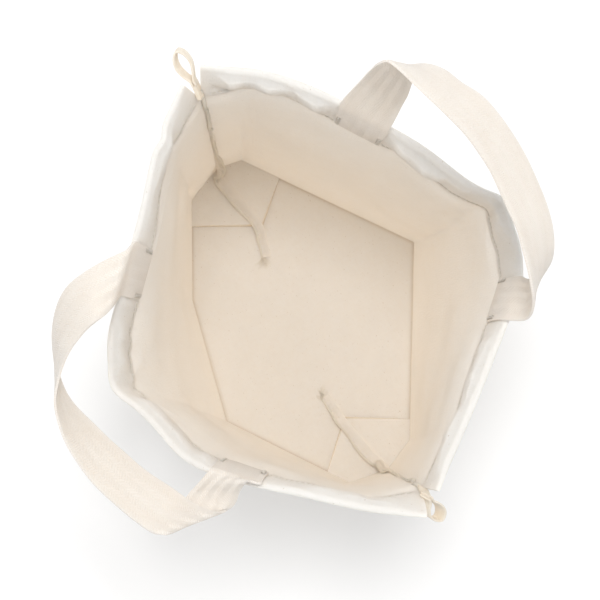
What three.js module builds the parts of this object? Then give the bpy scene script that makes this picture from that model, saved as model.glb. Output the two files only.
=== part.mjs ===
// An open canvas tote bag: walls, floor, hems, tucked corners, side seams, webbing handles and tape loops.
// Millimetres. X runs from side seam to side seam, -Y is the front, +Z is up.
// The origin is the middle of the floor's underside.
import * as THREE from "three";

// Cloth and thread
const CANVAS = 1.0;
const GAP = 0.3; // clearance between layers that lie on each other
const HEM_DEPTH = 28;
const HEM_END_SETBACK = 8; // from the side seam to the end of the turned-in layer
const RIM_FLARE = 9; // how far the hem leans out past the wall below it
const FLARE_DEPTH = 50; // how far below the rim that lean begins
const FLARE_POWER = 1.8;
const STITCH_WIDTH = 0.9;
const STITCH_THICKNESS = 0.6;
const STITCH_FROM_HEM_EDGE = 3;

// Floor outline, from the left seam's foot round by the front
const FLOOR_HALF_LENGTH = 143;
const FRONT_LEFT_TUCK = [-130, -32];
const FRONT_BEND = [-57, -72];
const FRONT_CORNER = [44, -96];
const FRONT_RIGHT_TUCK = [137, -33];
const BACK_RIGHT_TUCK = [131, 28];
const BACK_CORNER = [-9, 112];
const BACK_LEFT_TUCK = [-139, 21];

// Mouth: the rim's outer edge from the left seam to the right one, with its height above or below RIM_HEIGHT.
// The hems' corners splay apart at each seam, and the walls meet below them under the seam's top.
const RIM_HEIGHT = 340;
const LEFT_SEAM_TOP = [9 - FLOOR_HALF_LENGTH, 3];
const RIGHT_SEAM_TOP = [FLOOR_HALF_LENGTH + 2, 3];
const SPLAY_LENGTH = 35; // along the rim from each seam
const FRONT_RIM = [
  [-FLOOR_HALF_LENGTH, -5, -2],
  [-121, -34, 1],
  [-89, -64, -4],
  [-59, -94, -15],
  [-29, -125, -37],
  [-5, -134, -50],
  [28, -126, -45],
  [59, -117, -32],
  [85, -95, -15],
  [112, -65, -3],
  [142, -31, 1],
  [FLOOR_HALF_LENGTH + 17, -5, -2],
];
const BACK_RIM = [
  [-FLOOR_HALF_LENGTH - 5, 12, -2],
  [-126, 43, 1],
  [-101, 67, -4],
  [-74, 86, -13],
  [-43, 109, -28],
  [-8, 127, -43],
  [15, 140, -50],
  [33, 137, -43],
  [52, 130, -34],
  [69, 117, -20],
  [83, 98, -9],
  [114, 58, 0],
  [FLOOR_HALF_LENGTH + 7, 10, -2],
];

// Each wall's upright fold runs from the floor's corner to the bend of the rim, this far from the left seam.
const FRONT_FOLD_ALONG_RIM = 203;
const BACK_FOLD_ALONG_RIM = 219;

// Corner tucks on the floor
const TUCK_LAYERS = 2;
const LEFT_TUCK_POINT = [-82, 9];
const RIGHT_TUCK_POINT = [88, -10];
const LEFT_TUCK_FRONT_EDGE = 22; // along the floor's edge from the tuck's corner to its fold
const LEFT_TUCK_BACK_EDGE = 35;
const RIGHT_TUCK_FRONT_EDGE = 20;
const RIGHT_TUCK_BACK_EDGE = 17;

// Side seams
const SEAM_ALLOWANCE = 8;
const SEAM_THICKNESS = 2.2;
const SEAM_SETBACK = 2.8; // from the seam line to the standing edge
const SEAM_TOP_DROP = 12;
const TUCK_SEAM_HEIGHT = 5;
const LEFT_TAIL_END = [-57, 2];
const RIGHT_TAIL_END = [65, -12];
const TAIL_HEIGHT = 3;

// Webbing handles
const WEBBING_WIDTH = 35;
const WEBBING_THICKNESS = 2;
// Along the rim from each side seam to the middle of the sewn end nearest it
const FRONT_HANDLE_FROM_SEAMS = { left: 119, right: 120 };
const BACK_HANDLE_FROM_SEAMS = { left: 109, right: 129 };
const TAB_END_FROM_HEM_EDGE = 4.5;
const TAB_RISE = 5; // the tab follows the hem this far above the rim before it bends
const TAB_FREE_LENGTH = 50;
const BARTACK_LENGTH = 11;
const BARTACK_WIDTH = 2.4;
const BARTACK_THICKNESS = 0.8;
const BARTACK_FROM_TAB_END = 2.5;
const BARTACK_FROM_EDGE = 2.2;

// Each handle's run between its sewn ends: place along the line between them (0 left, 1 right),
// then how far it stands out and up from that line, then the way across it to the edge that is sewn
// nearest a side seam (along, out, up).
const FRONT_HANDLE_RUN = [
  [0.042, 5, 14, -0.76, -0.64, 0],
  [0.052, 15, 16, -0.88, -0.44, -0.19],
  [0.057, 25, 16, -0.9, -0.22, -0.38],
  [0.071, 37, 11, -0.89, -0.06, -0.46],
  [0.129, 53, 0, -0.77, -0.02, -0.64],
  [0.226, 66, -13, -0.57, -0.06, -0.82],
  [0.356, 73, -15, -0.22, -0.16, -0.96],
  [0.527, 72, -16, -0.16, -0.47, -0.87],
  [0.704, 65, -10, -0.22, -0.65, -0.73],
  [0.846, 56, -2, -0.29, -0.66, -0.7],
  [0.932, 49, 4, -0.24, -0.73, -0.63],
  [0.99, 44, 8, -0.17, -0.77, -0.62],
  [1.035, 39, 11, -0.03, -0.83, -0.56],
  [1.066, 33, 8, 0.07, -0.88, -0.46],
  [1.063, 27, 0, 0.21, -0.89, -0.41],
  [1.033, 21, -6, 0.33, -0.94, 0.09],
  [0.999, 14, -4, 0.36, -0.85, 0.39],
  [0.976, 5, 3, 0.39, -0.77, 0.51],
];
const BACK_HANDLE_RUN = [
  [0.001, 9, 30, -0.71, -0.39, 0.59],
  [0.003, 14, 51, -0.62, -0.37, 0.69],
  [0.004, 17, 69, -0.47, -0.38, 0.79],
  [0.003, 21, 75, -0.29, -0.41, 0.87],
  [0.018, 23, 77, -0.12, -0.47, 0.88],
  [0.049, 25, 79, 0, -0.54, 0.84],
  [0.088, 27, 80, 0.07, -0.61, 0.79],
  [0.15, 29, 82, 0.18, -0.65, 0.74],
  [0.224, 31, 81, 0.26, -0.66, 0.7],
  [0.339, 35, 77, 0.31, -0.74, 0.59],
  [0.508, 35, 70, 0.09, -0.77, 0.63],
  [0.68, 30, 64, -0.11, -0.74, 0.66],
  [0.795, 25, 61, -0.24, -0.66, 0.71],
  [0.869, 20, 57, -0.26, -0.6, 0.76],
  [0.931, 15, 51, -0.12, -0.57, 0.81],
  [0.974, 10, 44, 0.08, -0.53, 0.85],
  [0.999, 6, 36, 0.28, -0.49, 0.83],
  [1.012, 3, 27, 0.43, -0.5, 0.75],
  [1.008, 1, 16, 0.51, -0.59, 0.63],
];

// Hanging loops of tape in the side seams
const LOOP_TAPE_WIDTH = 8;
const LOOP_TAPE_THICKNESS = 1;
const LOOP_LENGTH = 24;
const LOOP_HALF_WIDTH = 6;
const LOOP_BELOW_RIM = 16;
const LEFT_LOOP_TILT = 20; // degrees above level
const RIGHT_LOOP_TILT = -35;

// How finely the curved sheets are divided
const COLUMN_LENGTH = 12;
const WALL_LEVELS = [0, 0.15, 0.35, 0.55, 0.72, 0.82, 0.88, 0.93, 0.97, 1];
const HEM_LEVELS = 4;
const TAB_LEVELS = 3;
const TAB_STEPS = 9;
const HANDLE_STEPS = 40;
const LOOP_STEPS = 20;
const ACROSS_STEPS = 4;

const vector = (list) => new THREE.Vector3(list[0], list[1], list[2] ?? 0);
const range = (count) => Array.from({ length: count + 1 }, (_, i) => i / count);

// A closed solid between two grids of points that match row by row.
function slab(faceA, faceB) {
  const rows = faceA.length;
  const columns = faceA[0].length;
  const corner = (face, row, column) => (face * rows + row) * columns + column;
  const index = [];
  const quad = (a, b, c, d) => index.push(a, b, c, a, c, d);
  for (let r = 0; r < rows - 1; r++) {
    for (let c = 0; c < columns - 1; c++) {
      quad(corner(0, r, c), corner(0, r, c + 1), corner(0, r + 1, c + 1), corner(0, r + 1, c));
      quad(corner(1, r, c), corner(1, r + 1, c), corner(1, r + 1, c + 1), corner(1, r, c + 1));
    }
  }
  for (let r = 0; r < rows - 1; r++) {
    const last = columns - 1;
    quad(corner(0, r, 0), corner(0, r + 1, 0), corner(1, r + 1, 0), corner(1, r, 0));
    quad(corner(0, r, last), corner(1, r, last), corner(1, r + 1, last), corner(0, r + 1, last));
  }
  for (let c = 0; c < columns - 1; c++) {
    const last = rows - 1;
    quad(corner(0, 0, c), corner(1, 0, c), corner(1, 0, c + 1), corner(0, 0, c + 1));
    quad(corner(0, last, c), corner(0, last, c + 1), corner(1, last, c + 1), corner(1, last, c));
  }
  const points = [...faceA.flat(), ...faceB.flat()];
  const geometry = new THREE.BufferGeometry().setFromPoints(points);
  geometry.setIndex(signedVolume(points, index) < 0 ? index.reverse() : index);
  geometry.computeVertexNormals();
  return geometry;
}

function signedVolume(points, index) {
  let sum = 0;
  for (let i = 0; i < index.length; i += 3) {
    const [a, b, c] = [points[index[i]], points[index[i + 1]], points[index[i + 2]]];
    sum += a.dot(b.clone().cross(c));
  }
  return sum / 6;
}

// A flat piece of cloth: an outline, counter-clockwise from above, raised by its thickness.
function flatPiece(outline, bottom, thickness) {
  const shape = new THREE.Shape(outline.map((p) => new THREE.Vector2(p.x, p.y)));
  const geometry = new THREE.ExtrudeGeometry(shape, { depth: thickness, bevelEnabled: false });
  return geometry.translate(0, 0, bottom);
}

// The same outline with every side moved in by a distance.
function inset(outline, distance) {
  const count = outline.length;
  return outline.map((point, i) => {
    const before = point.clone().sub(outline[(i + count - 1) % count]).normalize();
    const after = outline[(i + 1) % count].clone().sub(point).normalize();
    const inBefore = new THREE.Vector3(-before.y, before.x, 0);
    const inAfter = new THREE.Vector3(-after.y, after.x, 0);
    const middle = inBefore.add(inAfter).normalize();
    const cosine = middle.x * -after.y + middle.y * after.x;
    return point.clone().addScaledVector(middle, distance / cosine);
  });
}

// Stretches the part of 0..1 below one share and squeezes the part above it, or the other way round.
function rescale(value, from, to) {
  return value < from ? (value * to) / from : 1 - ((1 - value) * (1 - to)) / (1 - from);
}

// One wall of the bag. side is 1 for the front and -1 for the back, so that its inner side faces side * Y.
// at(s, t, depthIn) is the point at a share s of the way from the left seam to the right one, at a share t of
// the way from the floor to the rim, moved in from the wall's outer face by depthIn.
function makeWall(side, floorEdge, floorCorner, rimPoints, foldAlongRim) {
  const raised = rimPoints.map(([x, y, rise]) => new THREE.Vector3(x, y, RIM_HEIGHT + rise));
  const floor = new THREE.CurvePath();
  for (let i = 0; i < floorEdge.length - 1; i++) {
    floor.add(new THREE.LineCurve3(floorEdge[i], floorEdge[i + 1]));
  }
  const rim = new THREE.CatmullRomCurve3(raised, false, "centripetal");
  const rimLength = rim.getLength();
  const floorLength = floor.getLength();
  const fold = foldAlongRim / rimLength;
  const corner = floor.getCurveLengths()[floorEdge.indexOf(floorCorner) - 1] / floorLength;
  const rimToFloor = (s) => rescale(s, fold, corner);
  const floorToRim = (share) => rescale(share, corner, fold);

  const leftSplay = raised[0].clone().sub(vector(LEFT_SEAM_TOP)).setZ(0);
  const rightSplay = raised[raised.length - 1].clone().sub(vector(RIGHT_SEAM_TOP)).setZ(0);
  const nearSeam = (distance) => 1 - THREE.MathUtils.smoothstep(distance, 0, SPLAY_LENGTH);
  // How far the rim stands out from where the wall below it would end
  const leanAt = (s) => {
    const lean = rim.getPointAt(s).setZ(0).setLength(RIM_FLARE);
    lean.lerp(leftSplay, nearSeam(s * rimLength));
    return lean.lerp(rightSplay, nearSeam((1 - s) * rimLength));
  };
  const outer = (s, t) => {
    const top = rim.getPointAt(s);
    const lean = leanAt(s);
    const flareStart = 1 - FLARE_DEPTH / top.z;
    const flare = Math.max(0, (t - flareStart) / (1 - flareStart)) ** FLARE_POWER;
    const point = floor.getPoint(rimToFloor(s));
    point.lerp(top.sub(lean), t);
    return point.addScaledVector(lean, flare);
  };
  const step = 0.004;
  const inward = (s, t) => {
    const along = outer(Math.min(1, s + step), t).sub(outer(Math.max(0, s - step), t));
    along.setZ(0).normalize();
    if (s === 0 || s === 1) return new THREE.Vector3((s === 0 ? 1 : -1) / Math.abs(along.y), 0, 0);
    return new THREE.Vector3(-along.y, along.x, 0).multiplyScalar(side);
  };
  const at = (s, t, depthIn) => {
    const point = outer(s, t).addScaledVector(inward(s, t), depthIn);
    if (s === 0 || s === 1) point.y -= (side * GAP) / 2;
    return point;
  };
  const below = (s, depth, depthIn) => at(s, 1 - depth / rim.getPointAt(s).z, depthIn);

  const columns = [0];
  let run = 0;
  for (const line of floor.curves) {
    const length = line.getLength();
    const steps = Math.ceil(length / COLUMN_LENGTH);
    for (let i = 1; i <= steps; i++) columns.push(floorToRim((run + (length * i) / steps) / floorLength));
    run += length;
  }
  columns[columns.length - 1] = 1;
  return { side, rim, rimLength, columns, at, below };
}

function panelGeometry(wall) {
  const face = (depthIn) => WALL_LEVELS.map((t) => wall.columns.map((s) => wall.at(s, t, depthIn)));
  return slab(face(0), face(CANVAS));
}

// A band of cloth or thread that lies on the wall's inside, between two depths below the rim.
function bandGeometry(wall, places, depths, depthIn, thickness) {
  const face = (extra) => depths.map((depth) => places.map((s) => wall.below(s, depth, depthIn + extra)));
  return slab(face(0), face(thickness));
}

const HEM_INSET = CANVAS + GAP;
const ON_HEM_INSET = HEM_INSET + CANVAS + GAP;
const ON_TAB_INSET = ON_HEM_INSET + WEBBING_THICKNESS + GAP;

function hemPlaces(wall) {
  const end = HEM_END_SETBACK / wall.rimLength;
  return [end, ...wall.columns.filter((s) => s > end && s < 1 - end), 1 - end];
}

function hemGeometry(wall) {
  const depths = range(HEM_LEVELS).map((share) => HEM_DEPTH * (1 - share));
  return bandGeometry(wall, hemPlaces(wall), depths, HEM_INSET, CANVAS);
}

function stitchGeometry(wall) {
  const low = HEM_DEPTH - STITCH_FROM_HEM_EDGE;
  return bandGeometry(wall, hemPlaces(wall), [low, low - STITCH_WIDTH], ON_HEM_INSET, STITCH_THICKNESS);
}

const acrossPlaces = (wall, middle, width) =>
  range(ACROSS_STEPS).map((share) => middle + ((share - 0.5) * width) / wall.rimLength);

// The free run of a handle as a curve of centres with the way across the webbing at each.
function makeHandle(wall, fromSeams, run) {
  // The two sewn ends, as shares of the way along the rim
  const places = { left: fromSeams.left / wall.rimLength, right: 1 - fromSeams.right / wall.rimLength };
  const start = wall.below(places.left, -TAB_RISE, ON_HEM_INSET + WEBBING_THICKNESS / 2);
  const end = wall.below(places.right, -TAB_RISE, ON_HEM_INSET + WEBBING_THICKNESS / 2);
  const left = wall.rim.getPointAt(places.left);
  const right = wall.rim.getPointAt(places.right);
  const along = right.clone().sub(left).setZ(0).normalize();
  const out = new THREE.Vector3(along.y, -along.x, 0).multiplyScalar(wall.side);
  const centres = [start];
  const ways = [wall.rim.getTangentAt(places.left).negate()];
  for (const [share, outBy, upBy, wayAlong, wayOut, wayUp] of run) {
    const centre = left.clone().lerp(right, share).addScaledVector(out, outBy);
    centre.z += upBy;
    centres.push(centre);
    const way = along.clone().multiplyScalar(wayAlong).addScaledVector(out, wayOut);
    way.z += wayUp;
    ways.push(way.normalize());
  }
  centres.push(end);
  ways.push(wall.rim.getTangentAt(places.right));
  const centreCurve = new THREE.CatmullRomCurve3(centres, false, "centripetal");
  const wayCurve = new THREE.CatmullRomCurve3(ways, false, "centripetal");
  const length = centreCurve.getLength();
  // The two faces' points across the webbing at a length along it; the first face is the bag's inner one.
  const rowAt = (distance) => {
    const share = distance / length;
    const centre = centreCurve.getPointAt(share);
    const tangent = centreCurve.getTangentAt(share);
    const way = wayCurve.getPoint(centreCurve.getUtoTmapping(share)).normalize();
    const normal = way.clone().cross(tangent).setLength((wall.side * WEBBING_THICKNESS) / 2);
    const row = range(ACROSS_STEPS).map((a) => centre.clone().addScaledVector(way, (0.5 - a) * WEBBING_WIDTH));
    return [row.map((p) => p.clone().add(normal)), row.map((p) => p.clone().sub(normal))];
  };
  return { places, length, rowAt };
}

function ribbon(rows) {
  return slab(
    rows.map((row) => row[0]),
    rows.map((row) => row[1]),
  );
}

function archGeometry(handle) {
  const first = TAB_FREE_LENGTH + GAP;
  const last = handle.length - first;
  return ribbon(range(HANDLE_STEPS).map((share) => handle.rowAt(first + (last - first) * share)));
}

// A sewn end: flat on the hem, then over the rim to where the free arch begins.
function tabGeometry(wall, handle, end) {
  const middle = handle.places[end];
  const across = acrossPlaces(wall, middle, WEBBING_WIDTH);
  if (end === "right") across.reverse();
  const lowest = HEM_DEPTH - TAB_END_FROM_HEM_EDGE;
  const sewn = range(TAB_LEVELS).map((share) => {
    const depth = lowest + (-TAB_RISE - lowest) * share;
    const inner = across.map((s) => wall.below(s, depth, ON_HEM_INSET + WEBBING_THICKNESS));
    return [inner, across.map((s) => wall.below(s, depth, ON_HEM_INSET))];
  });
  const free = range(TAB_STEPS)
    .slice(1)
    .map((share) => TAB_FREE_LENGTH * share)
    .map((distance) => handle.rowAt(end === "left" ? distance : handle.length - distance));
  return ribbon([...sewn, ...free]);
}

function bartackGeometry(wall, handle, end, edge) {
  const offset = edge * (WEBBING_WIDTH / 2 - BARTACK_FROM_EDGE);
  const middle = handle.places[end] + offset / wall.rimLength;
  const lowest = HEM_DEPTH - TAB_END_FROM_HEM_EDGE - BARTACK_FROM_TAB_END;
  const depths = [lowest, lowest - BARTACK_LENGTH];
  const across = acrossPlaces(wall, middle, BARTACK_WIDTH);
  return bandGeometry(wall, across, depths, ON_TAB_INSET, BARTACK_THICKNESS);
}

// The folded cloth at one end of the floor, between two folds that meet at a point.
function tuckGeometry(seamFoot, frontTuck, frontNext, frontEdge, backTuck, backNext, backEdge, point) {
  const along = (from, to, distance) =>
    from.clone().addScaledVector(to.clone().sub(from).normalize(), distance);
  const outline = [
    seamFoot,
    frontTuck,
    along(frontTuck, frontNext, frontEdge),
    vector(point),
    along(backTuck, backNext, backEdge),
    backTuck,
  ];
  const turned = seamFoot.x > 0 ? outline.reverse() : outline;
  return flatPiece(inset(turned, CANVAS + 2 * GAP), CANVAS + GAP, TUCK_LAYERS * CANVAS);
}

// The middle between the two walls' ends at a side seam, at a height above the floor.
function seamPoint(place, height) {
  const share = height / (RIM_HEIGHT + FRONT_RIM[0][2]);
  return frontWall.at(place, share, 0).lerp(backWall.at(place, share, 0), 0.5);
}

// The allowance that stands along a side seam, down the wall, over the tuck and on to its frayed tail.
function seamGeometry(end, tuckPoint, tailEnd) {
  const inwards = end === "left" ? 1 : -1;
  const place = end === "left" ? 0 : 1;
  const tuckTop = CANVAS + GAP + TUCK_LAYERS * CANVAS + GAP;
  const floorTop = CANVAS + GAP;
  const rows = [];
  const levels = [...WALL_LEVELS].reverse().filter((t) => t > 0);
  for (const t of levels) {
    const height = Math.min(t * RIM_HEIGHT, RIM_HEIGHT - SEAM_TOP_DROP);
    const outerEdge = seamPoint(place, height);
    outerEdge.x += inwards * SEAM_SETBACK;
    const innerEdge = outerEdge.clone();
    innerEdge.x += inwards * SEAM_ALLOWANCE;
    rows.push([outerEdge, innerEdge]);
  }
  const foot = frontWall.at(place, 0, 0);
  const heel = new THREE.Vector3(foot.x + inwards * SEAM_SETBACK, 0, tuckTop);
  const toe = new THREE.Vector3(heel.x + inwards * SEAM_ALLOWANCE, 0, tuckTop + TUCK_SEAM_HEIGHT);
  rows.push([heel, toe]);
  const standing = (point, bottom, height) => {
    const low = new THREE.Vector3(point[0], point[1], bottom);
    return [low, low.clone().setZ(bottom + height)];
  };
  rows.push(standing(tuckPoint, tuckTop, TUCK_SEAM_HEIGHT));
  const tailStart = vector(tuckPoint).lerp(vector(tailEnd), 0.4).toArray();
  rows.push(standing(tailStart, floorTop, TAIL_HEIGHT));
  rows.push(standing(tailEnd, floorTop, TAIL_HEIGHT));
  const face = (offset) => rows.map((row) => row.map((p) => p.clone().setY(p.y + offset)));
  return slab(face(-SEAM_THICKNESS / 2), face(SEAM_THICKNESS / 2));
}

// A loop of tape pointing along +X from its sewn ends, level, with the tape's width upright.
function loopGeometry() {
  const legs = LOOP_TAPE_THICKNESS / 2 + GAP / 2;
  const half = [
    [0, legs],
    [LOOP_LENGTH * 0.15, legs],
    [LOOP_LENGTH * 0.36, LOOP_HALF_WIDTH * 0.7],
    [LOOP_LENGTH * 0.62, LOOP_HALF_WIDTH],
    [LOOP_LENGTH * 0.88, LOOP_HALF_WIDTH * 0.66],
  ];
  const other = half.map(([x, y]) => [x, -y]).reverse();
  const path = new THREE.CatmullRomCurve3([...half, [LOOP_LENGTH, 0], ...other].map(vector));
  const face = (offset) =>
    range(LOOP_STEPS).map((share) => {
      const point = path.getPointAt(share);
      const tangent = path.getTangentAt(share);
      const side = new THREE.Vector3(-tangent.y, tangent.x, 0).multiplyScalar(offset);
      const low = point.add(side).setZ(-LOOP_TAPE_WIDTH / 2);
      return [low, low.clone().setZ(LOOP_TAPE_WIDTH / 2)];
    });
  return slab(face(-LOOP_TAPE_THICKNESS / 2), face(LOOP_TAPE_THICKNESS / 2));
}

const leftFoot = vector([-FLOOR_HALF_LENGTH, 0]);
const rightFoot = vector([FLOOR_HALF_LENGTH, 0]);
const frontLeftTuck = vector(FRONT_LEFT_TUCK);
const frontBend = vector(FRONT_BEND);
const frontCorner = vector(FRONT_CORNER);
const frontRightTuck = vector(FRONT_RIGHT_TUCK);
const backRightTuck = vector(BACK_RIGHT_TUCK);
const backCorner = vector(BACK_CORNER);
const backLeftTuck = vector(BACK_LEFT_TUCK);
const frontEdge = [leftFoot, frontLeftTuck, frontBend, frontCorner, frontRightTuck, rightFoot];
const backEdge = [leftFoot, backLeftTuck, backCorner, backRightTuck, rightFoot];
const frontWall = makeWall(1, frontEdge, frontCorner, FRONT_RIM, FRONT_FOLD_ALONG_RIM);
const backWall = makeWall(-1, backEdge, backCorner, BACK_RIM, BACK_FOLD_ALONG_RIM);

const bag = new THREE.Group();

function add(name, geometry, color, roughness) {
  const material = new THREE.MeshStandardMaterial({ color, roughness, metalness: 0 });
  const mesh = new THREE.Mesh(geometry, material);
  mesh.name = name;
  bag.add(mesh);
  return mesh;
}

const CANVAS_COLOR = 0xe6d9c8;
const WEBBING_COLOR = 0xeee4d6;
const THREAD_COLOR = 0xe9dcc6;
const TAPE_COLOR = 0xe4d4ba;
const CLOTH_ROUGHNESS = 0.95;
const THREAD_ROUGHNESS = 0.8;

const floorOutline = [...frontEdge, ...backEdge.slice(1, -1).reverse()];
add("base_panel", flatPiece(inset(floorOutline, CANVAS + GAP), 0, CANVAS), CANVAS_COLOR, CLOTH_ROUGHNESS);

const sides = [
  { name: "front", wall: frontWall, fromSeams: FRONT_HANDLE_FROM_SEAMS, run: FRONT_HANDLE_RUN },
  { name: "back", wall: backWall, fromSeams: BACK_HANDLE_FROM_SEAMS, run: BACK_HANDLE_RUN },
];
for (const { name, wall, fromSeams, run } of sides) {
  add(`${name}_panel`, panelGeometry(wall), CANVAS_COLOR, CLOTH_ROUGHNESS);
  add(`${name}_hem`, hemGeometry(wall), CANVAS_COLOR, CLOTH_ROUGHNESS);
  add(`${name}_hem_stitch`, stitchGeometry(wall), THREAD_COLOR, THREAD_ROUGHNESS);
  const handle = makeHandle(wall, fromSeams, run);
  add(`${name}_handle`, archGeometry(handle), WEBBING_COLOR, CLOTH_ROUGHNESS);
  for (const end of ["left", "right"]) {
    add(`${name}_handle_tab_${end}`, tabGeometry(wall, handle, end), WEBBING_COLOR, CLOTH_ROUGHNESS);
    const outerEdge = end === "left" ? -1 : 1;
    const edges = { outer: outerEdge, inner: -outerEdge };
    for (const [edgeName, edge] of Object.entries(edges)) {
      const bar = bartackGeometry(wall, handle, end, edge);
      add(`${name}_bartack_${end}_${edgeName}`, bar, THREAD_COLOR, THREAD_ROUGHNESS);
    }
  }
}

const leftTuck = tuckGeometry(
  leftFoot,
  frontLeftTuck,
  frontBend,
  LEFT_TUCK_FRONT_EDGE,
  backLeftTuck,
  backCorner,
  LEFT_TUCK_BACK_EDGE,
  LEFT_TUCK_POINT,
);
const rightTuck = tuckGeometry(
  rightFoot,
  frontRightTuck,
  frontCorner,
  RIGHT_TUCK_FRONT_EDGE,
  backRightTuck,
  backCorner,
  RIGHT_TUCK_BACK_EDGE,
  RIGHT_TUCK_POINT,
);
add("left_corner_tuck", leftTuck, CANVAS_COLOR, CLOTH_ROUGHNESS);
add("right_corner_tuck", rightTuck, CANVAS_COLOR, CLOTH_ROUGHNESS);
const leftSeam = seamGeometry("left", LEFT_TUCK_POINT, LEFT_TAIL_END);
const rightSeam = seamGeometry("right", RIGHT_TUCK_POINT, RIGHT_TAIL_END);
add("left_side_seam", leftSeam, CANVAS_COLOR, CLOTH_ROUGHNESS);
add("right_side_seam", rightSeam, CANVAS_COLOR, CLOTH_ROUGHNESS);

// Each loop starts between the splayed corners, clear of the seam's standing edge at the corner of its tilted
// tape that reaches back furthest.
const loops = [
  { name: "left_hang_loop", place: 0, turn: Math.PI, tilt: LEFT_LOOP_TILT },
  { name: "right_hang_loop", place: 1, turn: 0, tilt: RIGHT_LOOP_TILT },
];
for (const { name, place, turn, tilt } of loops) {
  const lean = THREE.MathUtils.degToRad(tilt);
  const loop = add(name, loopGeometry(), TAPE_COLOR, CLOTH_ROUGHNESS);
  const height = RIM_HEIGHT - LOOP_BELOW_RIM;
  const reachBack = (LOOP_TAPE_WIDTH / 2) * Math.abs(Math.sin(lean));
  const cornerHeight = height + (Math.sign(tilt) * LOOP_TAPE_WIDTH * Math.cos(lean)) / 2;
  const seam = seamPoint(place, cornerHeight);
  const rootX = seam.x + Math.cos(turn) * (reachBack + GAP - SEAM_SETBACK);
  loop.position.set(rootX, seam.y, height);
  loop.rotation.set(0, -lean, turn, "ZYX");
}

export default bag;
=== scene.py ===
import math

import bpy
import numpy as np
from mathutils import Matrix, Vector


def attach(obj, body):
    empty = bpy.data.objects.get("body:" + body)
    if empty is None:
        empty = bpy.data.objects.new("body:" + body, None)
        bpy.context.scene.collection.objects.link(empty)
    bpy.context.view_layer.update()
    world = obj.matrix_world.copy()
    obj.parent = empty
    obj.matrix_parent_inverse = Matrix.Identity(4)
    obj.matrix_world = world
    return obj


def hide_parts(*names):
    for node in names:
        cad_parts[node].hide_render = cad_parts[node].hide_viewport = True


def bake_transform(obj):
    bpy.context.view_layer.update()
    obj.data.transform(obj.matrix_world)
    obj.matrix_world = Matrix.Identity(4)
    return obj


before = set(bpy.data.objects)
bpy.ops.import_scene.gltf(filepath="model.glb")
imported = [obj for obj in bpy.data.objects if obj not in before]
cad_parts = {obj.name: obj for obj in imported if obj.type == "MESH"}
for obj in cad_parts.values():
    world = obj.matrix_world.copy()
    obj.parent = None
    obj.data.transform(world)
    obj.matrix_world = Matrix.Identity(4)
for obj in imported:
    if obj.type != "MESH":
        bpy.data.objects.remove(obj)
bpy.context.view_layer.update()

# Cloth
CANVAS = 0.001
HEM_DEPTH = 0.028
RIM_FLARE = 0.009
FLARE_DEPTH = 0.05
FLARE_POWER = 1.8
RIM_ROUND = 0.0014  # radius of the fold at the rim
RIM_ROUND_AT_SEAM = 0.001
SEAM_EASE = 0.02  # length over which the hem and its fold flatten towards a side seam
HEM_PUFF = 0.0010
PUFF_EASE = 0.015  # length over which a puff rises, and falls again
PUFF_IN_RIM = 0.25  # share of a puff that widens the fold at the rim
PUFF_UNDER_STRAP = 0.1  # share of a puff that is left where a strap holds it
HEM_PRESSED = 0.0016  # how far inside the wall's outer face the hem lies at its stitches
HEM_EDGE_LIFT = 0.0003
STRAP_HOLD = (0.014, 0.024)  # from a strap's middle: the hem is flat up to here, and free from here
# The hem's edge, turned under: how far past HEM_DEPTH, and how far inside the wall's outer face
HEM_UNDER = [(0.0006, 0.0016), (-0.0002, 0.0011), (-0.005, 0.0010)]
STITCH_FROM_HEM_EDGE = 0.003
STITCH_LENGTH = 0.003
STITCH_GAP = 0.0007
STITCH_RADIUS = 0.0004
STITCH_RISE = 0.00028
STITCH_FROM_SEAM = 0.006
STITCH_POINTS = 5
THREAD_END_SHARE = 0.45  # of a thread's radius, at its rounded ends
NEARLY_UP = (0.01, 0.02, 1)  # a thread's facing, never along the thread itself

# Floor outline, from the left seam's foot
FLOOR_HALF_LENGTH = 0.143
LEFT_FOOT = (-FLOOR_HALF_LENGTH, 0.0)
RIGHT_FOOT = (FLOOR_HALF_LENGTH, 0.0)
FOOT = {"left": LEFT_FOOT, "right": RIGHT_FOOT}
FRONT_LEFT_TUCK = (-0.130, -0.032)
FRONT_BEND = (-0.057, -0.072)
FRONT_CORNER = (0.044, -0.096)
FRONT_RIGHT_TUCK = (0.137, -0.033)
BACK_RIGHT_TUCK = (0.131, 0.028)
BACK_CORNER = (-0.009, 0.112)
BACK_LEFT_TUCK = (-0.139, 0.021)
FRONT_EDGE = [LEFT_FOOT, FRONT_LEFT_TUCK, FRONT_BEND, FRONT_CORNER, FRONT_RIGHT_TUCK, RIGHT_FOOT]
BACK_EDGE = [LEFT_FOOT, BACK_LEFT_TUCK, BACK_CORNER, BACK_RIGHT_TUCK, RIGHT_FOOT]
FLOOR_EASE = 0.012  # length over which the floor rises from its pressed edges
FLOOR_RAISED = 0.0011
FLOOR_RIPPLE = 0.0004
FLOOR_WAVES = (0.02, 0.06)  # shortest and longest

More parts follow.
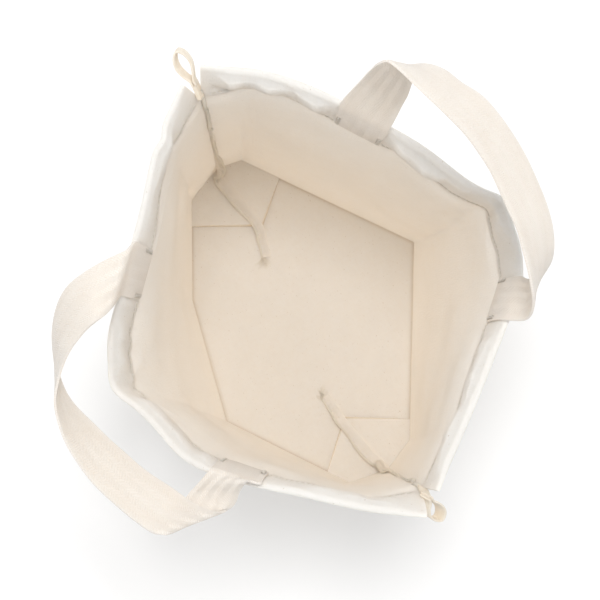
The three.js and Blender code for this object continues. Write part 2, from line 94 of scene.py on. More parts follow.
# Mouth: the rim from the left seam to the right one, with its height above or below RIM_HEIGHT.
# Its points were worked out in the same way as the handles' runs below.
RIM_HEIGHT = 0.340
SEAM_TOP = {"left": (-0.134, 0.003), "right": (0.145, 0.003)}
SPLAY_LENGTH = 0.035
FRONT_RIM = [
    (-0.143, -0.005, -0.002),
    (-0.121, -0.034, 0.001),
    (-0.089, -0.064, -0.004),
    (-0.059, -0.094, -0.015),
    (-0.029, -0.125, -0.037),
    (-0.005, -0.134, -0.050),
    (0.028, -0.126, -0.045),
    (0.059, -0.117, -0.032),
    (0.085, -0.095, -0.015),
    (0.112, -0.065, -0.003),
    (0.142, -0.031, 0.001),
    (0.160, -0.005, -0.002),
]
BACK_RIM = [
    (-0.148, 0.012, -0.002),
    (-0.126, 0.043, 0.001),
    (-0.101, 0.067, -0.004),
    (-0.074, 0.086, -0.013),
    (-0.043, 0.109, -0.028),
    (-0.008, 0.127, -0.043),
    (0.015, 0.140, -0.050),
    (0.033, 0.137, -0.043),
    (0.052, 0.130, -0.034),
    (0.069, 0.117, -0.020),
    (0.083, 0.098, -0.009),
    (0.114, 0.058, 0.000),
    (0.150, 0.010, -0.002),
]
FRONT_FOLD_ALONG_RIM = 0.203
BACK_FOLD_ALONG_RIM = 0.219

# Soft folds in the walls: from and to, each along the rim and below it, then width and height inwards
FRONT_FOLDS = [
    ((FRONT_FOLD_ALONG_RIM, 0.000), (FRONT_FOLD_ALONG_RIM, 0.100), 0.012, -0.0030),
    ((0.197, 0.026), (0.180, 0.052), 0.004, 0.0013),
    ((0.210, 0.026), (0.232, 0.056), 0.004, 0.0014),
    ((0.104, 0.022), (0.050, 0.046), 0.005, 0.0011),
    ((0.108, 0.034), (0.040, 0.070), 0.007, 0.0012),
    ((0.036, 0.000), (0.042, 0.034), 0.006, 0.0024),
    ((0.022, 0.020), (0.034, 0.070), 0.008, 0.0012),
]
BACK_FOLDS = [
    ((BACK_FOLD_ALONG_RIM, 0.000), (0.215, 0.110), 0.011, -0.0028),
    ((0.010, 0.020), (0.034, 0.030), 0.004, -0.0020),
    ((0.042, 0.027), (0.088, 0.033), 0.004, -0.0016),
    ((0.140, 0.027), (0.178, 0.033), 0.004, -0.0016),
    ((0.226, 0.028), (0.252, 0.044), 0.005, 0.0014),
]
# Where the hem puffs up between its stitches and the rim: from, to, height
FRONT_PUFFS = [
    (0.020, 0.095, 0.0004),
    (0.150, 0.200, 0.0008),
    (0.210, 0.290, 0.0014),
    (0.335, 0.420, 0.0020),
]
BACK_PUFFS = [
    (0.006, 0.090, 0.0024),
    (0.130, 0.200, 0.0032),
    (0.205, 0.250, 0.0022),
    (0.320, 0.425, 0.0022),
]
FOLD_FADE = 0.6  # share of a fold's height that is gone at its far end

# Unevenness of the walls: heights, the shortest and longest waves, and where it fades out
SLACK_HEIGHT = 0.0009
SLACK_WAVES = (0.07, 0.16)
SLACK_FROM_SEAM = (0.004, 0.05)
SLACK_FROM_FLOOR = 0.06
SLACK_FROM_RIM = 0.05
PUCKER_HEIGHT = 0.0004
PUCKER_WAVES = (0.012, 0.030)
PUCKER_SPREAD = 0.014  # to each side of the hem's edge
PLUMP_SHARE = 0.55  # of a puff
PLUMP_WAVES = (0.022, 0.080)
CRUMPLE_SHARE = 0.12  # of a puff
CRUMPLE_WAVES = (0.009, 0.024)

# Painted shade at the walls' feet, under the hem's edge, along the stitch line, by the side seams and
# along the floor's edges: how dark, how wide
WALL_FOOT_SHADE = (0.30, 0.004)
HEM_EDGE_SHADE = (0.06, 0.003)
HEM_EDGE_SHADE_DROP = 0.001  # how far below the hem's edge its painted shade lies
STITCH_LINE_SHADE = (0.04, 0.001)
SEAM_VALLEY_SHADE = (0.03, 0.007)
FLOOR_EDGE_SHADE = (0.5, 0.0024)

# Corner tucks: each one's point on the floor, then at its front and its back the corner where it
# starts, the next corner along the floor's edge and how far it runs towards that one
TUCK_POINT = {"left": (-0.082, 0.009), "right": (0.088, -0.010)}
TUCK_SIDES = {
    "left": ((FRONT_LEFT_TUCK, FRONT_BEND, 0.022), (BACK_LEFT_TUCK, BACK_CORNER, 0.035)),
    "right": ((FRONT_RIGHT_TUCK, FRONT_CORNER, 0.020), (BACK_RIGHT_TUCK, BACK_CORNER, 0.017)),
}
TUCK_HEIGHT = 0.0032
TUCK_LIFT = 0.0028  # how far the folded edges rise off the floor
TUCK_RIPPLE = 0.0003
# Round the fold: share of the way to it, and how far below the top layer
TUCK_ROUND = [(0.996, 0.0004), (1.0, 0.0012), (0.996, 0.0019)]
TUCK_UNDER = 0.0021  # how far the layer under the fold lies below the top one
TUCK_TOP_ROWS = 44
TUCK_UNDER_ROWS = 10
TUCK_COLUMNS = 120

# Side seams
SEAM_ALLOWANCE = 0.0085
SEAM_TOP_DROP = 0.021
SEAM_OFF_WALL = 0.001
SEAM_LOWEST = 0.03  # where it begins to leave the wall
SEAM_TURN = (0.007, 0.0065)  # where it meets the floor: in from the foot, above the floor
SEAM_OVER_TUCK = 0.0016
SEAM_ROWS = 9  # across each of its two layers
SEAM_CLOSED_WIDTH = 0.24  # share of the allowance's width that stands off the wall
SEAM_CLOTH = 0.8 * CANVAS
TAIL_END = {"left": (-0.057, 0.002), "right": (0.065, -0.012)}
TAIL_HEIGHTS = [(0.35, 0.0040), (0.7, 0.0030), (1.0, 0.0026)]  # share of the tail's length, height
TAIL_NARROWING = 0.25
CURL_WAVES = (0.030, 0.09)
FLARE_WAVES = (0.020, 0.05)
OVERLOCK_RADIUS = 0.0013  # of the thread built up along the cut edges
OVERLOCK_THREAD = 0.00022
OVERLOCK_OFF_CLOTH = 0.0006
OVERLOCK_BULGE = 0.25  # share of its depth that a loop of thread stands past the edge
OVERLOCK_DEPTH = 5  # rows of the allowance that the thread wraps
OVERLOCK_NUDGE = (0.01, 0.02, 0.03)  # keeps a thread's facing off its own direction
FRAY_THREADS = 12
FRAY_REACH = (0.004, 0.010)
FRAY_TURN = 0.8
FRAY_BEND = 0.5
FRAY_SPREAD = 0.0015
FRAY_STEPS = [(0, 0), (0.4, 0), (0.75, 0.6), (1, 1)]  # shares of a thread's reach and of its bend
FRAY_HEIGHTS = (0.0045, 0.0038)
FRAY_END_HEIGHT = (0.0028, 0.006)

# Webbing handles
WEBBING_WIDTH = 0.035
WEBBING_THICKNESS = 0.0021
WEBBING_RIPPLE = 0.00015
WEBBING_WAVES = (0.02, 0.09)
FRONT_HANDLE_FROM_SEAMS = (0.119, 0.120)
BACK_HANDLE_FROM_SEAMS = (0.109, 0.129)
TAB_END_FROM_HEM_EDGE = 0.0045
TAB_RISE = 0.005
TAB_ROWS = 7
BARTACK_LENGTH = 0.011
BARTACK_WIDTH = 0.0024
BARTACK_FROM_TAB_END = 0.0025
BARTACK_FROM_EDGE = 0.0022
BARTACK_CROSSINGS = 22
BARTACK_THREAD = 0.00036
BARTACK_CROWN = 0.0004
BARTACK_OFF_WEBBING = 0.0001
BARTACK_FACING = (0.013, 0.021, 0.2)

# Each handle's run: place along the line between its sewn ends, out and up from it, then the way
# across it to the edge that is sewn nearest a side seam (along, out, up). A scratch program worked
# the rows out from places picked by hand on the photo and from heights chosen by hand.
FRONT_HANDLE_RUN = [
    (0.042, 0.005, 0.014, -0.76, -0.64, 0),
    (0.052, 0.015, 0.016, -0.88, -0.44, -0.19),
    (0.057, 0.025, 0.016, -0.9, -0.22, -0.38),
    (0.071, 0.037, 0.011, -0.89, -0.06, -0.46),
    (0.129, 0.053, 0, -0.77, -0.02, -0.64),
    (0.226, 0.066, -0.013, -0.57, -0.06, -0.82),
    (0.356, 0.073, -0.015, -0.22, -0.16, -0.96),
    (0.527, 0.072, -0.016, -0.16, -0.47, -0.87),
    (0.704, 0.065, -0.01, -0.22, -0.65, -0.73),
    (0.846, 0.056, -0.002, -0.29, -0.66, -0.7),
    (0.932, 0.049, 0.004, -0.24, -0.73, -0.63),
    (0.99, 0.044, 0.008, -0.17, -0.77, -0.62),
    (1.035, 0.039, 0.011, -0.03, -0.83, -0.56),
    (1.066, 0.033, 0.008, 0.07, -0.88, -0.46),
    (1.063, 0.027, 0, 0.21, -0.89, -0.41),
    (1.033, 0.021, -0.006, 0.33, -0.94, 0.09),
    (0.999, 0.014, -0.004, 0.36, -0.85, 0.39),
    (0.976, 0.005, 0.003, 0.39, -0.77, 0.51),
]
BACK_HANDLE_RUN = [
    (0.001, 0.009, 0.03, -0.71, -0.39, 0.59),
    (0.003, 0.014, 0.051, -0.62, -0.37, 0.69),
    (0.004, 0.017, 0.069, -0.47, -0.38, 0.79),
    (0.003, 0.021, 0.075, -0.29, -0.41, 0.87),
    (0.018, 0.023, 0.077, -0.12, -0.47, 0.88),
    (0.049, 0.025, 0.079, 0, -0.54, 0.84),
    (0.088, 0.027, 0.08, 0.07, -0.61, 0.79),
    (0.15, 0.029, 0.082, 0.18, -0.65, 0.74),
    (0.224, 0.031, 0.081, 0.26, -0.66, 0.7),
    (0.339, 0.035, 0.077, 0.31, -0.74, 0.59),
    (0.508, 0.035, 0.07, 0.09, -0.77, 0.63),
    (0.68, 0.03, 0.064, -0.11, -0.74, 0.66),
    (0.795, 0.025, 0.061, -0.24, -0.66, 0.71),
    (0.869, 0.02, 0.057, -0.26, -0.6, 0.76),
    (0.931, 0.015, 0.051, -0.12, -0.57, 0.81),
    (0.974, 0.01, 0.044, 0.08, -0.53, 0.85),
    (0.999, 0.006, 0.036, 0.28, -0.49, 0.83),
    (1.012, 0.003, 0.027, 0.43, -0.5, 0.75),
    (1.008, 0.001, 0.016, 0.51, -0.59, 0.63),
]
# Each handle's bend: the way (out, up) from the line between its sewn ends, and how far along that
# way it begins and ends
FRONT_BEND_WAY = (0.93, 0.37)
FRONT_BEND_SPAN = (0.006, 0.045)
BACK_BEND_WAY = (0.26, 0.97)
BACK_BEND_SPAN = (0.004, 0.045)

# Hanging loops
LOOP_TAPE_WIDTH = 0.008
LOOP_TAPE_THICKNESS = 0.0015
LOOP_LENGTH = 0.024
LOOP_HALF_WIDTH = 0.0045
LOOP_SHAPE = [(0.36, 0.7), (0.62, 1), (0.88, 0.66)]  # share of its length, share of its half width
LOOP_LEGS = 0.15  # share of its length where the legs lie side by side
LOOP_ROOT_FALL = 0.008  # how far the caught ends slope down to the seam
LOOP_ROOT_THICKNESS = 1.6 * LOOP_TAPE_THICKNESS
LOOP_ROOT = {"left": (-0.1415, 0.0036, 0.324), "right": (0.1495, 0.0022, 0.324)}
LOOP_TURN = {"left": math.pi, "right": 0}
LOOP_TILT = {"left": 26, "right": -46}  # degrees above level
LOOP_ROLL = 0.45  # how far the tape's upper edge lies over to one side, as a share of its width
LOOP_TWIST = 0.12  # how much the roll changes along the tape

# Weave: sizes of what shows in it, and the depth of each material's bump
CANVAS_YARN = 0.0009
CANVAS_BUMP = 0.00018
TAPE_YARN = 0.0006
TAPE_BUMP = 0.00015
SLUB_WIDTH = 0.9  # in yarns
SLUB_LENGTH = 22
MOTTLE = 0.014
CLOUD = 0.09
GRAIN = 0.0032
FLECK = (0.0021, 0.0012)
# Colour of the seed flecks, and also the colour that painted shade darkens the cloth towards
FLECK_AND_SHADE_COLOR = (0.50, 0.36, 0.20)
WEBBING_YARN = 0.0015
WEBBING_COLUMN = 0.0044
WEBBING_GROOVE_SHADE = 0.2  # how dark the painted shade in the groove between two columns is
WEBBING_FUZZ = 0.0012
WEBBING_MOTTLE = (0.012, 0.03)
WEBBING_BUMP = 0.00018
THREAD_PLY = 0.0008
THREAD_FUZZ = (0.0006, 0.0015)
THREAD_BUMP = 0.00012

# How finely the cloth is divided
COLUMN_STEP = 0.0022
ROW_STEP = 0.0026
HEM_ROW_STEP = 0.0016
FLOOR_ROWS = 90
WEBBING_COLUMNS = 25
LOOP_STEPS = 90
LOOP_COLUMNS = 11

# Camera and light
CAMERA_PLACE = (0.0692, -0.0409, 1.280)
CAMERA_FORWARD = (-0.0645, 0.0365, -0.9973)
CAMERA_RIGHT = (0.49195, 0.87062, 0.0)
CAMERA_LENS = 93.66  # in millimetres, as is the sensor
CAMERA_SENSOR = 36
WORLD_STRENGTH = 0.755
KEY_PLACE = (-0.18, 0.11, 1.8)
KEY_TARGET = (0.02, 0, 0)
KEY_SIZE = 0.5
KEY_POWER = 14
GROUND_REACH = 4.0
GROUND_DROP = 0.0006  # below the bag's underside
GROUND_COLOR = (0.97, 0.97, 0.97, 1)


# Curves and fields


def smooth_points(points, per_span=40):
    """Points along a centripetal Catmull-Rom curve through the given ones."""
    given = np.array(points, float)
    padded = np.vstack([2 * given[0] - given[1], given, 2 * given[-1] - given[-2]])
    share = np.linspace(0, 1, per_span, endpoint=False)[:, None]
    spans = []
    for p0, p1, p2, p3 in zip(padded[:-3], padded[1:-2], padded[2:-1], padded[3:]):
        gap0, gap1, gap2 = (math.sqrt(np.linalg.norm(b - a)) for a, b in ((p0, p1), (p1, p2), (p2, p3)))
        slope1 = ((p1 - p0) / gap0 - (p2 - p0) / (gap0 + gap1) + (p2 - p1) / gap1) * gap1
        slope2 = ((p2 - p1) / gap1 - (p3 - p1) / (gap1 + gap2) + (p3 - p2) / gap2) * gap1
        square = share * share
        cube = square * share
        spans.append(
            (2 * cube - 3 * square + 1) * p1
            + (cube - 2 * square + share) * slope1
            + (3 * square - 2 * cube) * p2
            + (cube - square) * slope2
        )
    return np.vstack(spans + [given[-1:]])


def run_lengths(points):
    """The length along a line, or along each line of a grid, up to each point."""
    steps = np.linalg.norm(np.diff(points, axis=0), axis=-1)
    return np.concatenate([0 * steps[:1], np.cumsum(steps, axis=0)])


def read_between(marks, rows, at):
    """Rows of values that are given at marks, read at other places between them."""
    return np.stack([np.interp(at, marks, line) for line in rows.T], axis=-1)


class Path:
    """A line of points read by the share of its length."""

    def __init__(self, points):
        self.points = np.array(points, float)
        run = run_lengths(self.points)
        self.length = run[-1]
        self.marks = run / self.length

    def at(self, share):
        return read_between(self.marks, self.points, share)


def smoothstep(low, high, value):
    share = np.clip((value - low) / (high - low), 0, 1)
    return share * share * (3 - 2 * share)


def unit(vectors):
    return vectors / np.maximum(np.linalg.norm(vectors, axis=-1, keepdims=True), 1e-12)


def bell(distance, width):
    return np.exp(-((distance / width) ** 2))


def waves(seed, shortest, longest, count=14):
    """A smooth uneven field over the cloth, about 1 high: a sum of sines."""
    draw = np.random.default_rng(seed)
    lengths = np.exp(draw.uniform(math.log(shortest), math.log(longest), count))
    angles = draw.uniform(0, math.pi, count)
    starts = draw.uniform(0, 2 * math.pi, count)

    def field(u, v):
        total = 0
        for length, angle, start in zip(lengths, angles, starts):
            along = u * math.cos(angle) + v * math.sin(angle)
            total = total + np.sin(2 * math.pi * along / length + start)
        return total / math.sqrt(count)

    return field


def from_line(places, start, end):
    """Each place's share of the way along a straight line, and its distance from the line."""
    way = np.subtract(end, start)
    place = places - np.array(start)
    share = np.clip(place @ way / (way @ way), 0, 1)
    return share, np.linalg.norm(place - share[..., None] * way, axis=-1)


def cloth_map(u, v):
    """Cloth coordinates at each point of a grid."""
    return np.stack(np.broadcast_arrays(u, v), axis=-1)


def ridge(u, v, fold):
    """A soft fold's height at cloth places u, v."""
    start, end, width, height = fold
    share, off = from_line(cloth_map(u, v), start, end)
    return height * (1 - FOLD_FADE * share) * bell(off, width)


def painted_shade(distance, dark_and_width):
    """How much painted shade darkens the cloth at a distance from a crease, corner or edge."""
    dark, width = dark_and_width
    return dark * bell(distance, width)


def rescale(value, old, new):
    """Moves the share old to new and stretches both sides of it evenly."""
    return np.where(value < old, value * new / old, 1 - (1 - value) * (1 - new) / (1 - old))


# Walls


class Wall:
    """One wall of the bag; side is 1 for the front and -1 for the back."""

    def __init__(self, side, floor_edge, corner, rim_points, fold, folds, puffs, from_seams, seed):
        self.side = side
        self.floor = Path([(x, y, 0) for x, y in floor_edge])
        self.rim = Path(smooth_points([(x, y, RIM_HEIGHT + rise) for x, y, rise in rim_points]))
        self.length = self.rim.length
        self.fold = fold / self.length
        self.corner = self.floor.marks[floor_edge.index(corner)]
        self.left_splay = np.array([*np.subtract(rim_points[0][:2], SEAM_TOP["left"]), 0])
        self.right_splay = np.array([*np.subtract(rim_points[-1][:2], SEAM_TOP["right"]), 0])
        self.folds = folds
        self.puffs = puffs
        self.straps = (from_seams[0] / self.length, 1 - from_seams[1] / self.length)
        self.slack = waves(seed, *SLACK_WAVES)
        self.pucker = waves(seed + 1, *PUCKER_WAVES)
        self.plump = waves(seed + 2, *PLUMP_WAVES)
        self.crumple = waves(seed + 3, *CRUMPLE_WAVES)

    def from_seam(self, s):
        """The distance along the rim to the nearer side seam."""
        return np.minimum(s, 1 - s) * self.length

    def outer(self, s, t):
        """The wall's outer face at a share s from the left seam to the right and t from floor to rim."""
        top = self.rim.at(s)
        lean = unit(top * (1, 1, 0)) * RIM_FLARE
        for splay, distance in ((self.left_splay, s), (self.right_splay, 1 - s)):
            near = 1 - smoothstep(0, SPLAY_LENGTH, distance * self.length)
            lean = lean + (splay - lean) * near[..., None]
        start = 1 - FLARE_DEPTH / top[..., 2]
        flare = np.maximum(0, (t - start) / (1 - start)) ** FLARE_POWER
        foot = self.floor.at(rescale(s, self.fold, self.corner))
        return foot + (top - lean - foot) * t[..., None] + lean * flare[..., None]

    def below(self, s, depth, inset):
        """A point at a depth below the rim, moved in from the wall's outer face."""
        s, depth, inset = np.broadcast_arrays(s, depth, inset)
        t = 1 - depth / self.rim.at(s)[..., 2]
        step = 0.006
        along = self.outer(np.minimum(s + step, 1), t) - self.outer(np.maximum(s - step, 0), t)
        along = unit(along * (1, 1, 0))
        inward = self.side * np.stack([-along[..., 1], along[..., 0], 0 * t], axis=-1)
        return self.outer(s, t) + inward * inset[..., None]

    def relief(self, s, depth):
        """How far the cloth stands inwards: broad slack, pucker along the stitches, the listed folds."""
        u = s * self.length
        seam = smoothstep(*SLACK_FROM_SEAM, self.from_seam(s))
        floor = smoothstep(0, SLACK_FROM_FLOOR, self.rim.at(s)[..., 2] - depth)
        rim = smoothstep(0, SLACK_FROM_RIM, depth)
        height = SLACK_HEIGHT * self.slack(u, depth) * seam * floor * rim
        pucker = PUCKER_HEIGHT * self.pucker(u, depth * 0.4) * bell(depth - HEM_DEPTH, PUCKER_SPREAD)
        height = height + pucker * seam * (1 - self.under_strap(s))
        for fold in self.folds:
            height = height + ridge(u, depth, fold)
        return height

    def under_strap(self, s):
        """1 where a strap holds the hem flat."""
        held = 0 * s
        for place in self.straps:
            held = np.maximum(held, 1 - smoothstep(*STRAP_HOLD, np.abs(s - place) * self.length))
        return held

    def rim_round(self, s):
        near = 1 - smoothstep(0, SEAM_EASE, self.from_seam(s))
        return RIM_ROUND + (RIM_ROUND_AT_SEAM - RIM_ROUND) * near + PUFF_IN_RIM * self.puff(s)

    def puff(self, s):
        """How far the hem swells inwards between its stitches and the rim."""
        u = s * self.length
        height = HEM_PUFF
        for start, end, more in self.puffs:
            rise = smoothstep(start, start + PUFF_EASE, u)
            fall = 1 - smoothstep(end - PUFF_EASE, end, u)
            height = height + more * rise * fall
        seam = smoothstep(0, SEAM_EASE, self.from_seam(s))
        return height * (1 - (1 - PUFF_UNDER_STRAP) * self.under_strap(s)) * seam

    def hem_inset(self, s, depth):
        """How far inside the wall's outer face the turned-in hem's middle lies."""
        u = s * self.length
        top = CANVAS / 2 + 2 * self.rim_round(s)
        stitch = HEM_DEPTH - STITCH_FROM_HEM_EDGE
        share = np.clip(depth / stitch, 0, 1)
        lying = top + (HEM_PRESSED - top) * share**1.5
        uneven = PLUMP_SHARE * self.plump(u, 0.3 * depth) + CRUMPLE_SHARE * self.crumple(u, depth)
        swell = self.puff(s) * (1 + uneven) * np.sin(math.pi * share**0.65)
        return lying + swell + HEM_EDGE_LIFT * smoothstep(stitch, HEM_DEPTH, depth)


FRONT_WALL = Wall(
    side=1,
    floor_edge=FRONT_EDGE,
    corner=FRONT_CORNER,
    rim_points=FRONT_RIM,
    fold=FRONT_FOLD_ALONG_RIM,
    folds=FRONT_FOLDS,
    puffs=FRONT_PUFFS,
    from_seams=FRONT_HANDLE_FROM_SEAMS,
    seed=11,
)
BACK_WALL = Wall(
    side=-1,
    floor_edge=BACK_EDGE,
    corner=BACK_CORNER,
    rim_points=BACK_RIM,
    fold=BACK_FOLD_ALONG_RIM,
    folds=BACK_FOLDS,
    puffs=BACK_PUFFS,
    from_seams=BACK_HANDLE_FROM_SEAMS,
    seed=31,
)


# Meshes


def mesh_from(name, points, faces, cloth, shade):
    """A mesh with cloth coordinates in metres as its map and a painted shade value at each point."""
    mesh = bpy.data.meshes.new(name)
    mesh.from_pydata(points.tolist(), [], faces)
    corners = np.empty(len(mesh.loops), int)
    mesh.loops.foreach_get("vertex_index", corners)
    uv = mesh.uv_layers.new(name="cloth")
    uv.data.foreach_set("uv", cloth[corners].astype(np.float32).ravel())
    attribute = mesh.attributes.new("shade", "FLOAT", "POINT")
    attribute.data.foreach_set("value", shade.astype(np.float32))
    mesh.shade_smooth()
    mesh.set_sharp_from_angle(angle=math.radians(60))
    return mesh


def grid_normals(grid):
    by_row = np.gradient(grid, axis=0)
    by_column = np.gradient(grid, axis=1)
    return unit(np.cross(by_column, by_row))


def sheet_mesh(name, middle, thickness, cloth, shade=0.0):
    """A closed sheet about a grid of middle points."""
    rows, columns = middle.shape[:2]
    count = rows * columns
    offset = grid_normals(middle) * np.broadcast_to(thickness, (rows, columns))[..., None] / 2
    points = np.concatenate([(middle + offset).reshape(-1, 3), (middle - offset).reshape(-1, 3)])
    index = np.arange(count).reshape(rows, columns)
    top = np.stack([index[:-1, :-1], index[:-1, 1:], index[1:, 1:], index[1:, :-1]], axis=-1)
    top = top.reshape(-1, 4)
    bottom = top[:, [0, 3, 2, 1]] + count
    border = np.concatenate([index[0], index[1:, -1], index[-1, -2::-1], index[-2:0:-1, 0]])
    after = np.roll(border, -1)
    rim = np.stack([after, border, border + count, after + count], axis=-1)
    faces = np.concatenate([top, bottom, rim]).tolist()
    flat = np.broadcast_to(cloth, (rows, columns, 2)).reshape(-1, 2)
    value = np.broadcast_to(shade, (rows, columns)).ravel()
    return mesh_from(name, points, faces, np.tile(flat, (2, 1)), np.tile(value, 2))


def tape_thickness(thickness, across, power, least):
    """The thickness across a tape whose edges are rounded off."""
    return thickness * np.sqrt(np.clip(1 - np.abs(2 * across) ** power, least, 1))


def thread_mesh(name, threads, radius, sides=6):
    """Round threads with rounded ends; each is a line of points and the way that it faces."""
    points, faces, cloth = [], [], []
    turns = np.linspace(0, 2 * math.pi, sides, endpoint=False)
    cos, sin = np.cos(turns)[None, :, None], np.sin(turns)[None, :, None]
    first = 0
    for line, facing in threads:
        line = np.array(line, float)
        along = unit(np.gradient(line, axis=0))
        across = unit(np.cross(along, facing))
        up = np.cross(across, along)
        girth = np.full(len(line), radius)
        girth[[0, -1]] = radius * THREAD_END_SHARE
        ring = cos * across[:, None] + sin * up[:, None]
        points.append((line[:, None] + ring * girth[:, None, None]).reshape(-1, 3))
        cloth.append(cloth_map(turns[None] * radius, run_lengths(line)[:, None]).reshape(-1, 2))
        last = first + (len(line) - 1) * sides
        for a in range(first, last, sides):
            for j in range(sides):
                k = (j + 1) % sides
                faces.append((a + j, a + k, a + sides + k, a + sides + j))
        faces.append(tuple(first + j for j in reversed(range(sides))))
        faces.append(tuple(last + j for j in range(sides)))
        first = last + sides
    points = np.concatenate(points)
    return mesh_from(name, points, faces, np.concatenate(cloth), np.zeros(len(points)))


def add_object(data):
    """Puts an object in the scene, under its data's name."""
    obj = bpy.data.objects.new(data.name, data)
    bpy.context.collection.objects.link(obj)
    return obj


def piece(mesh, material, nodes=(), body="bag"):
    """Puts a mesh in the scene as a piece that rides on a body and stands for CAD nodes."""
    obj = add_object(mesh)
    mesh.materials.append(material)
    if body:
        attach(obj, body)
    if nodes:
        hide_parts(*nodes)
    return obj


# Materials


class Nodes:
    """Short calls that add and join the shader nodes of a material or a world."""

    def __init__(self, owner):
        owner.use_nodes = True
        self.owner = owner
        self.tree = owner.node_tree

    def join(self, node, inputs):
        """Links each input of a node to another node's output, or gives it a plain value."""
        for key, value in inputs.items():
            if isinstance(value, bpy.types.NodeSocket):
                self.tree.links.new(value, node.inputs[key])
            else:
                node.inputs[key].default_value = value

    def set_node(self, name, inputs):
        """Joins up a node that is there from the start."""
        self.join(self.tree.nodes[name], inputs)

    def node(self, kind, inputs, **settings):
        """Adds a node and gives back its outputs."""
        node = self.tree.nodes.new(f"ShaderNode{kind}")
        for name, value in settings.items():
            setattr(node, name, value)
        self.join(node, inputs)
        return node.outputs

    def math(self, operation, a, b=0.0):
        return self.node("Math", {0: a, 1: b}, operation=operation)[0]

    def add(self, total, *others):
        for value in others:
            total = self.math("ADD", total, value)
        return total

    def times(self, a, b):
        return self.math("MULTIPLY", a, b)

    def sine(self, value, length):
        """A wave of a given length."""
        return self.math("SINE", self.times(value, 2 * math.pi / length))

    def cloth(self):
        """The cloth coordinates u and v, in metres."""
        split = self.node("SeparateXYZ", {0: self.node("UVMap", {}, uv_map="cloth")[0]})
        return split[0], split[1]

    def noise(self, u, v, along_u, along_v, detail=2.0):
        """Noise with a length for each direction of the cloth."""
        place = {0: self.math("DIVIDE", u, along_u), 1: self.math("DIVIDE", v, along_v)}
        vector = self.node("CombineXYZ", place)[0]
        return self.node("TexNoise", {"Vector": vector, "Scale": 1.0, "Detail": detail})["Fac"]

    def ramp(self, value, low, high):
        """value stretched so that low gives 0 and high gives 1."""
        return self.node("MapRange", {"Value": value, "From Min": low, "From Max": high}, clamp=True)[0]

    def mix(self, share, a, b):
        a, b = (value if isinstance(value, bpy.types.NodeSocket) else (*value, 1.0) for value in (a, b))
        return self.node("Mix", {0: share, 6: a, 7: b}, data_type="RGBA")[2]

    # The mesh's painted shade values
    def shade(self):
        return self.node("Attribute", {}, attribute_name="shade")["Fac"]

    def finish(self, color, height, bump_depth, roughness, sheen):
        bump = self.node("Bump", {"Strength": 1.0, "Distance": bump_depth, "Height": height})
        values = {
            "Normal": bump[0],
            "Base Color": color,
            "Roughness": roughness,
            "Specular IOR Level": 0.2,
            "Subsurface Weight": 0.5,
            "Subsurface Radius": (1.0, 0.95, 0.9),
            "Subsurface Scale": 0.006,
            "Sheen Weight": sheen,
            "Sheen Roughness": 0.5,
        }
        self.set_node("Principled BSDF", values)
        return self.owner


def woven_material(name, pale, dark, yarn, bump_depth):
    """Plain weave: crossing yarns of uneven thickness, soft mottling, seed flecks and painted shade from
    the mesh in creases, corners and under edges.
    """
    nodes = Nodes(bpy.data.materials.new(name))
    u, v = nodes.cloth()
    weave = nodes.times(nodes.sine(u, yarn), nodes.sine(v, yarn))
    thin, long = yarn * SLUB_WIDTH, yarn * SLUB_LENGTH
    slubs = nodes.add(nodes.noise(u, v, thin, long), nodes.noise(u, v, long, thin))
    mottle = nodes.noise(u, v, MOTTLE, MOTTLE, 4.0)
    cloud = nodes.noise(u, v, CLOUD, CLOUD)
    grain = nodes.noise(u, v, GRAIN, GRAIN, 3.0)
    # The cloth's own uneven tone: slubs, mottling, clouds and grain
    darkening = nodes.add(
        nodes.ramp(slubs, 0.75, 1.3),
        nodes.ramp(mottle, 0.35, 0.75),
        nodes.ramp(cloud, 0.35, 0.7),
        nodes.ramp(grain, 0.4, 0.75),
    )
    color = nodes.mix(nodes.times(darkening, 0.26), pale, dark)
    specks = nodes.ramp(nodes.noise(u, v, *FLECK, 1.0), 0.70, 0.8)
    color = nodes.mix(nodes.times(specks, 0.4), color, FLECK_AND_SHADE_COLOR)
    # Painted shade from the mesh: creases, corners, under the hem's edge, by the seams and at the tuck
    # folds
    color = nodes.mix(nodes.shade(), color, FLECK_AND_SHADE_COLOR)
    height = nodes.add(nodes.times(weave, 0.45), slubs, nodes.times(nodes.add(mottle, grain), 1.8))
    roughness = nodes.add(0.85, nodes.times(slubs, 0.07))
    return nodes.finish(color, height, bump_depth, roughness, 0.12)


def webbing_material(name, pale, dark):
    """Herringbone webbing: slanted ribs that turn back at each column."""
    nodes = Nodes(bpy.data.materials.new(name))
    u, v = nodes.cloth()
    rib = nodes.sine(nodes.add(v, nodes.math("PINGPONG", u, WEBBING_COLUMN)), WEBBING_YARN)
    column = nodes.math("PINGPONG", u, WEBBING_COLUMN / 2)
    groove = nodes.ramp(column, 0.0, WEBBING_COLUMN * 0.12)
    fuzz = nodes.noise(u, v, WEBBING_FUZZ, WEBBING_FUZZ, 3.0)
    mottle = nodes.noise(u, v, *WEBBING_MOTTLE, 3.0)
    # Painted shade in the ribs' troughs and in the groove between columns, with the webbing's own uneven
    # fuzz and mottle
    darkening = nodes.add(
        nodes.ramp(rib, 0.5, -1.0),
        nodes.ramp(fuzz, 0.4, 0.75),
        nodes.ramp(mottle, 0.35, 0.7),
        WEBBING_GROOVE_SHADE,
        nodes.times(groove, -WEBBING_GROOVE_SHADE),
    )
    color = nodes.mix(nodes.times(darkening, 0.3), pale, dark)
    # Painted shade from the mesh's shade values, towards the flecks' colour
    color = nodes.mix(nodes.shade(), color, FLECK_AND_SHADE_COLOR)
    height = nodes.add(nodes.times(rib, 0.5), nodes.times(groove, 0.1), fuzz)
    roughness = nodes.add(0.82, nodes.times(fuzz, 0.12))
    return nodes.finish(color, height, WEBBING_BUMP, roughness, 0.12)


